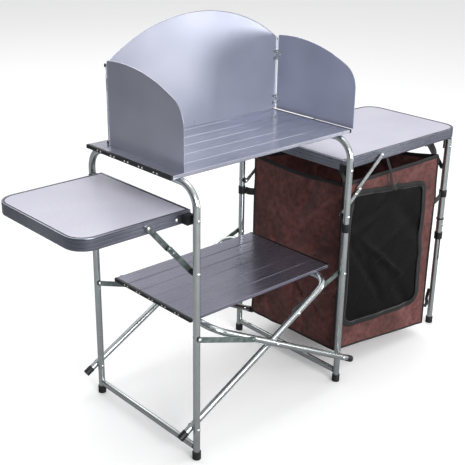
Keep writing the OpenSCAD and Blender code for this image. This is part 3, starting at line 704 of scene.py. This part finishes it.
# front wall, with the cells inside the door left out
cols, rows = 121, 151
s, t = np.meshgrid(np.linspace(0, 1, cols), np.linspace(0, 1, rows))
points = wall_point(0, s, t)
faces = grid_faces(rows, cols)
mid_s, mid_t = s.ravel()[faces].mean(1), t.ravel()[faces].mean(1)
outline = door_outline(200)
ring_st = door_point(outline[:, 0], outline[:, 1])
edge_a, edge_b = ring_st, np.roll(ring_st, -1, 0)
crosses = ((edge_a[None, :, 1] > mid_t[:, None]) != (edge_b[None, :, 1] > mid_t[:, None]))
slope = (edge_b[:, 0] - edge_a[:, 0]) / np.where(edge_b[:, 1] == edge_a[:, 1], 1e-9,
                                                 edge_b[:, 1] - edge_a[:, 1])
hit = crosses & (mid_s[:, None] < slope[None] * (mid_t[:, None] - edge_a[None, :, 1])
                 + edge_a[None, :, 0])
inside = hit.sum(1) % 2 == 1
front_wall = cloth_piece("cabinet_front_wall", points, faces[~inside], brown_cloth)
soften(front_wall)
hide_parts("cabinet_shell")

# the other three walls and the floor
for k, label in ((1, "right"), (2, "back"), (3, "left")):
    s, t = np.meshgrid(np.linspace(0, 1, 81), np.linspace(0, 1, 101))
    wall = cloth_piece("cabinet_" + label + "_wall", wall_point(k, s, t), grid_faces(101, 81),
                       brown_cloth)
    soften(wall)
s, t = np.meshgrid(np.linspace(0, 1, 41), np.linspace(0, 1, 41))
near = bag_low[0] + (bag_low[1] - bag_low[0]) * s[..., None]
rear = bag_low[3] + (bag_low[2] - bag_low[3]) * s[..., None]
base = near + (rear - near) * t[..., None]
base[..., 2] += 2.0 - 7.0 * np.sin(np.pi * s) * np.sin(np.pi * t)
soften(cloth_piece("cabinet_floor", base, grid_faces(41, 41), brown_cloth, 2.0))

# ---------------------------------------------------------------------------
# Cabinet piping: black cord sewn into binding tape along every edge, following
# the sagging top, the corners and the floor.
black_tape, tree, shader = finish_material("black_binding_tape")
ribs = add_node(tree, "ShaderNodeTexWave", {
    "Vector": add_node(tree, "ShaderNodeTexCoord").outputs["Object"], "Scale": 260.0,
    "Distortion": 0.4}, bands_direction="DIAGONAL")
fuzz = noise(tree, 120, 3)
tree.links.new(ramp(tree, fuzz.outputs["Fac"], [(0.3, "#060607"), (0.75, "#141416")]),
               shader.inputs["Base Color"])
shader.inputs["Roughness"].default_value = 0.68
shader.inputs["Sheen Weight"].default_value = 0.05
tree.links.new(bump_from(tree, ribs.outputs["Fac"], 0.0003, 0.4), shader.inputs["Normal"])
line = np.linspace(0, 1, 70)
zero, one = np.zeros_like(line), np.ones_like(line)
piping = []
for k in range(4):
    piping.append(sweep(wall_point(k, line, zero), (0, 0, 1), strip_section(13, 3.4)))
    piping.append(sweep(wall_point(k, line, one), (0, 0, 1), ring_section(3.4, 10)))
    piping.append(sweep(wall_point(k, zero, line), out_way[k], ring_section(3.6, 10)))
soften(link_object("cabinet_piping", join_sweeps("cabinet_piping", piping), black_tape,
                   "right_table", 60.0))

# ---------------------------------------------------------------------------
# Mesh door: black polyester net sewn into a tape border, which a zip closes.
# The lower corners are rounder than the upper ones, so the zip can run round them.
net, tree, shader = finish_material("black_net")
where = add_node(tree, "ShaderNodeTexCoord")
cells = add_node(tree, "ShaderNodeTexVoronoi", {"Vector": where.outputs["Object"],
                                                "Scale": 420.0})
tree.links.new(ramp(tree, cells.outputs["Distance"], [(0.1, "#020202"), (0.6, "#0c0c0e")]),
               shader.inputs["Base Color"])
shader.inputs["Roughness"].default_value = 0.6
shader.inputs["Alpha"].default_value = 0.88
shader.inputs["Specular IOR Level"].default_value = 0.15
tree.links.new(bump_from(tree, cells.outputs["Distance"], 0.0003, 0.4), shader.inputs["Normal"])
loop = door_outline(140)
grow = np.linspace(0, 1, 30)[:, None, None]
centre = np.array([0.5, 0.5])
uv = centre + (loop[None] - centre) * grow
st = door_point(uv[..., 0], uv[..., 1])
net_points = wall_point(0, st[..., 0], st[..., 1]) + np.array([0, 1.0, 0])
door_net = cloth_piece("cabinet_door_net", net_points, grid_faces(30, 140, wrap_cols=True), net,
                       0.8)
soften(door_net)
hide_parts("cabinet_door")

st = door_point(loop[:, 0], loop[:, 1])
border = wall_point(0, st[:, 0], st[:, 1]) + np.array([0, -1.2, 0])
tangent = np.roll(border, -1, 0) - np.roll(border, 1, 0)
sideways = np.cross(tangent, (0, -1, 0))
soften(link_object("cabinet_door_border", join_sweeps("cabinet_door_border", [
    sweep(border, sideways, strip_section(20, 2.2), closed=True)]), black_tape, "right_table",
    60.0))

# zip teeth round the door, on the border
zip_black, tree, shader = finish_material("zip_teeth")
bite = noise(tree, 800, 2)
tree.links.new(ramp(tree, bite.outputs["Fac"], [(0.3, "#18181a"), (0.7, "#3c3c40")]),
               shader.inputs["Base Color"])
shader.inputs["Roughness"].default_value = 0.35
tooth_count = 900
fine_loop = door_outline(tooth_count, 0.016)
st = door_point(fine_loop[:, 0], fine_loop[:, 1])
teeth_path = wall_point(0, st[:, 0], st[:, 1]) + np.array([0, -2.6, 0])
rings, quads = sweep(teeth_path, (0, -1, 0), ring_section(1.4, 6), closed=True)
beat = 1 + 0.45 * np.sign(np.sin(np.arange(tooth_count) * np.pi / 1.5))[:, None, None]
middle_line = rings.mean(1, keepdims=True)
rings = middle_line + (rings - middle_line) * beat
soften(link_object("cabinet_zip", join_sweeps("cabinet_zip", [(rings, quads)]), zip_black,
                   "right_table", 30.0))

# ---------------------------------------------------------------------------
# Inner shelf of the cabinet: a board covered in black cloth and slung halfway
# down between the walls. A grey binding is sewn along its front edge.
s, t = np.meshgrid(np.linspace(0, 1, 41), np.linspace(0, 1, 31))
board = np.stack([622 + 418 * s, 68 - 20 * s + (356 + 20 * s) * t,
                  372 - 8 * np.sin(np.pi * s) * np.sin(np.pi * (0.15 + 0.7 * t))], -1)
inner_shelf = cloth_piece("cabinet_inner_shelf", board, grid_faces(31, 41), black_lining,
                          3.0)
soften(inner_shelf)
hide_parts("cabinet_shelf")
grey_tape, tree, shader = finish_material("pale_binding_in_painted_shade")
rub = noise(tree, 150, 3)
# painted shade: the pale grey binding is coloured dark grey for the shade inside the cabinet
tree.links.new(ramp(tree, rub.outputs["Fac"], [(0.3, "#4a4745"), (0.7, "#67635f")]),
               shader.inputs["Base Color"])
shader.inputs["Roughness"].default_value = 0.7
soften(link_object("cabinet_shelf_binding", join_sweeps("cabinet_shelf_binding", [
    sweep(board[0] + np.array([0, -1.5, 0]), (0, 0, 1), strip_section(5, 2.4))]), grey_tape,
    "right_table", 60.0))

# ---------------------------------------------------------------------------
# Straps: black woven webbing. Loops hold the cabinet's corners to all four legs,
# short hangers hook its top to the rim, and a loose tie hangs at the front.
webbing, tree, shader = finish_material("black_webbing")
where = add_node(tree, "ShaderNodeTexCoord")
twill = add_node(tree, "ShaderNodeTexWave", {"Vector": where.outputs["Object"], "Scale": 190.0,
                                             "Distortion": 0.8}, bands_direction="DIAGONAL")
tree.links.new(ramp(tree, twill.outputs["Fac"], [(0.2, "#070708"), (0.8, "#18181b")]),
               shader.inputs["Base Color"])
shader.inputs["Roughness"].default_value = 0.66
shader.inputs["Sheen Weight"].default_value = 0.06
tree.links.new(bump_from(tree, twill.outputs["Fac"], 0.0004, 0.5), shader.inputs["Normal"])


def leg_loop(cx, cy, z, r, width):
    """Webbing loop round a leg: a circle just proud of the tube, swept with the strap's section."""
    a = np.linspace(0, 2 * np.pi, 36, endpoint=False)
    ripple = 0.25 * np.sin(3 * a)
    path = np.stack([cx + (r + 1.1 + ripple) * np.cos(a), cy + (r + 1.1 + ripple) * np.sin(a),
                     np.full_like(a, z)], 1)
    return sweep(path, (0, 0, 1), strip_section(width, 1.6), closed=True)


right_leg_x, right_leg_y, right_leg_r = 590, (20, 466), 9.5
far_leg_x, far_leg_y, far_leg_r = 1141, (66, 420), 11
main_loops = link_object("main_leg_loops", join_sweeps("main_leg_loops", [
    leg_loop(right_leg_x, y, 516, right_leg_r, 26) for y in right_leg_y]), webbing,
    "right_frame", 60.0)
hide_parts("main_leg_straps")
far_loops = link_object("far_leg_loops", join_sweeps("far_leg_loops", [
    leg_loop(far_leg_x, y, z, far_leg_r, width)
    for z, width in ((486, 24), (395, 5)) for y in far_leg_y]), webbing, "far_legs", 60.0)
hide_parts("far_leg_straps")

tabs = []
for y_leg, y_bag in ((30.5, 58), (455.5, 430)):
    tabs.append(sweep(smooth_path([(594, y_leg, 516), (602, (y_leg + y_bag) / 2, 513),
                                   (615, y_bag, 512)], 16), (0, 0, 1), strip_section(24, 1.6)))
for y_leg, y_bag in ((66, 38), (420, 426)):
    tabs.append(sweep(smooth_path([(1129, y_leg, 486), (1108, (y_leg * 2 + y_bag) / 3, 483),
                                   (1078, (y_leg + y_bag * 2) / 3, 480), (1049, y_bag, 482)], 22),
                      (0, 0, 1), strip_section(22, 1.6)))
    tabs.append(sweep(smooth_path([(1048, y_bag, 112), (1068, y_bag * 0.8 + y_leg * 0.2, 92),
                                   (1098, y_bag * 0.4 + y_leg * 0.6, 92),
                                   (1112, y_leg, 104), (1121, y_leg, 136)], 26), (0, 1, 0),
                      strip_section(12, 1.5)))
tabs_piece = link_object("cabinet_leg_tabs", join_sweeps("cabinet_leg_tabs", tabs), webbing,
                         "right_table", 60.0)
soften(tabs_piece)

hangers = []
for x, y, lean, in_y in ((622, 62, -6, (4, 22, 24)), (1040, 44, 10, (4, 22, 24)),
                         (1040, 420, 10, (-4, -8, -8)), (622, 420, -6, (-4, -8, -8))):
    hangers.append(sweep(smooth_path([(x, y, 632), (x + lean * 0.4, y + in_y[0], 655),
                                      (x + lean, y + in_y[1], 676),
                                      (x + lean, y + in_y[2], 691)], 18), (1, 0, 0),
                         strip_section(16, 1.6)))
hangers.append(sweep(smooth_path([(806, 60, 690), (806, 48, 664), (808, 38, 640), (812, 36, 612),
                                  (822, 33, 590), (836, 30, 577)], 26), (1, 0, 0.15),
                     strip_section(11, 1.6)))
hanger_piece = link_object("cabinet_hangers", join_sweeps("cabinet_hangers", hangers), webbing,
                           "right_table", 60.0)
soften(hanger_piece)
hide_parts("cabinet_straps")
